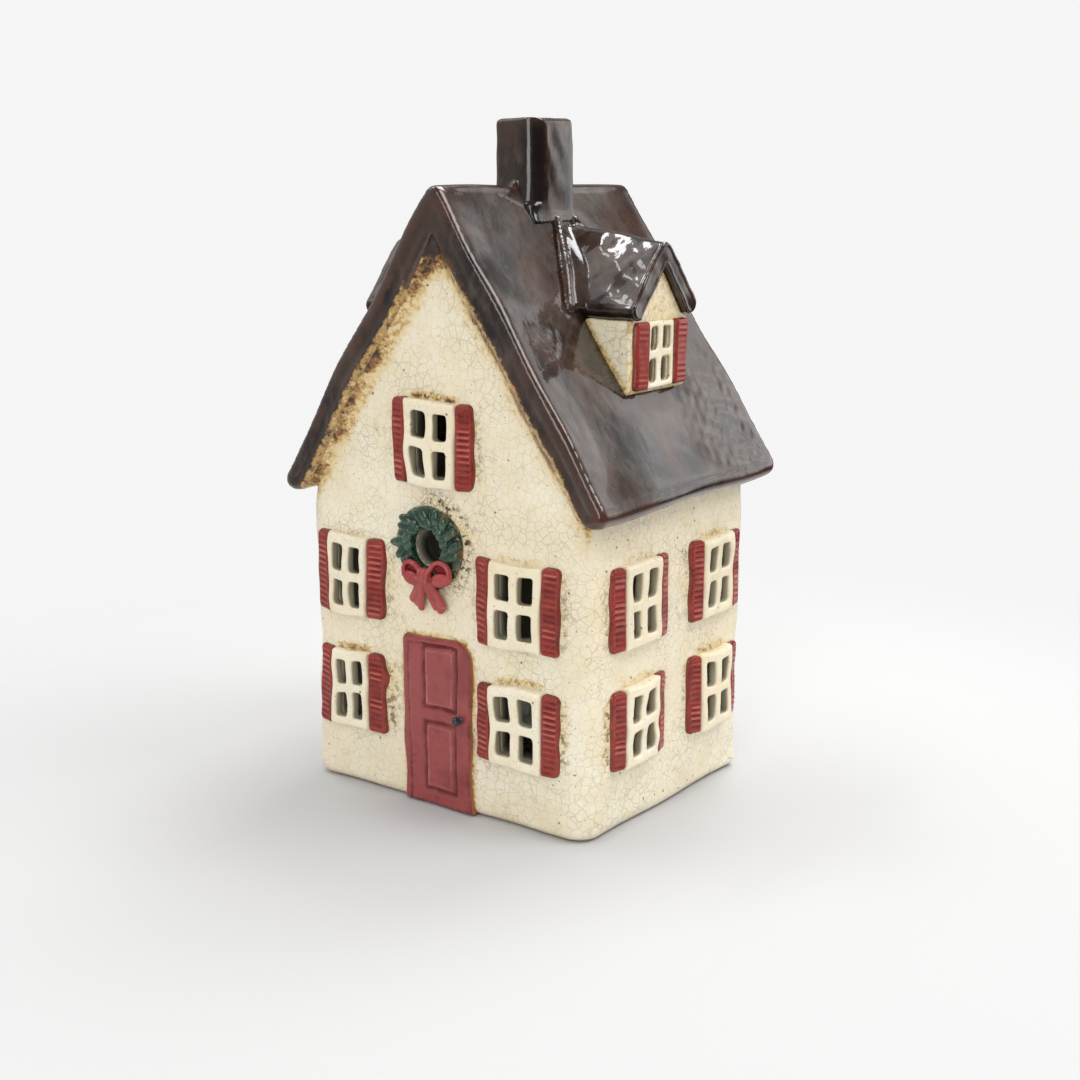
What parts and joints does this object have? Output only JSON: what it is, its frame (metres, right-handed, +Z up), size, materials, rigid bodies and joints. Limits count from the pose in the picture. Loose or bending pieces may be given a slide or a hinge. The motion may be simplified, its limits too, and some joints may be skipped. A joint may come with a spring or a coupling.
{
  "type": "tealight house",
  "caption": "Glazed pottery cottage with pierced windows, shutters, dormers and a hollow chimney, holding a removable tealight that shines through the panes.",
  "frame": {"origin": "centre of the base slab's underside, on the surface the house stands on", "axes": "+Z up the house, -Y out of the door gable, +Y out of the rear opening, +X to the right of the door"},
  "size_m": [0.115, 0.0942, 0.2],
  "materials": {
    "cream_glaze": "crackled gloss glaze",
    "brown_glaze": "dark gloss glaze",
    "red_glaze": "satin glaze",
    "green_glaze": "gloss glaze",
    "knob_glaze": "gloss glaze",
    "cup_foil": "drawn sheet",
    "wax": "paraffin wax",
    "wick": "braided cotton",
    "sustainer_plate": "tinned sheet"
  },
  "bodies": {
    "house": {"base_slab": "cream_glaze", "chimney": "brown_glaze", "door_knob": "knob_glaze", "dormer_left_roof": "brown_glaze", "dormer_left_walls": "cream_glaze", "dormer_right_roof": "brown_glaze", "dormer_right_walls": "cream_glaze", "front_door": "red_glaze", "front_wall": "cream_glaze", "left_wall": "cream_glaze", "rear_wall": "cream_glaze", "right_wall": "cream_glaze", "roof_left_slope": "brown_glaze", "roof_right_slope": "brown_glaze", "shutters_dormer_left": "red_glaze", "shutters_dormer_right": "red_glaze", "shutters_front_gable": "red_glaze", "shutters_front_lower_left": "red_glaze", "shutters_front_lower_right": "red_glaze", "shutters_front_upper_left": "red_glaze", "shutters_front_upper_right": "red_glaze", "shutters_left_lower_front": "red_glaze", "shutters_left_lower_rear": "red_glaze", "shutters_left_upper_front": "red_glaze", "shutters_left_upper_rear": "red_glaze", "shutters_right_lower_front": "red_glaze", "shutters_right_lower_rear": "red_glaze", "shutters_right_upper_front": "red_glaze", "shutters_right_upper_rear": "red_glaze", "window_dormer_left": "cream_glaze", "window_dormer_right": "cream_glaze", "window_front_gable": "cream_glaze", "window_front_lower_left": "cream_glaze", "window_front_lower_right": "cream_glaze", "window_front_upper_left": "cream_glaze", "window_front_upper_right": "cream_glaze", "window_left_lower_front": "cream_glaze", "window_left_lower_rear": "cream_glaze", "window_left_upper_front": "cream_glaze", "window_left_upper_rear": "cream_glaze", "window_right_lower_front": "cream_glaze", "window_right_lower_rear": "cream_glaze", "window_right_upper_front": "cream_glaze", "window_right_upper_rear": "cream_glaze", "wreath": "green_glaze", "wreath_bow": "red_glaze"},
    "tealight": {"tealight_cup": "cup_foil"},
    "candle": {"candle_wax": "wax", "candle_wick": "wick", "wick_sustainer": "sustainer_plate"}
  },
  "joints": [
    {"name": "tealight_slide", "type": "slide", "parent": "house", "child": "tealight", "axis": [0, 1, 0], "range_m": [0, 0.075]},
    {"name": "candle_lift", "type": "slide", "parent": "tealight", "child": "candle", "axis": [0, 0, 1], "range_m": [0, 0.018]}
  ]
}
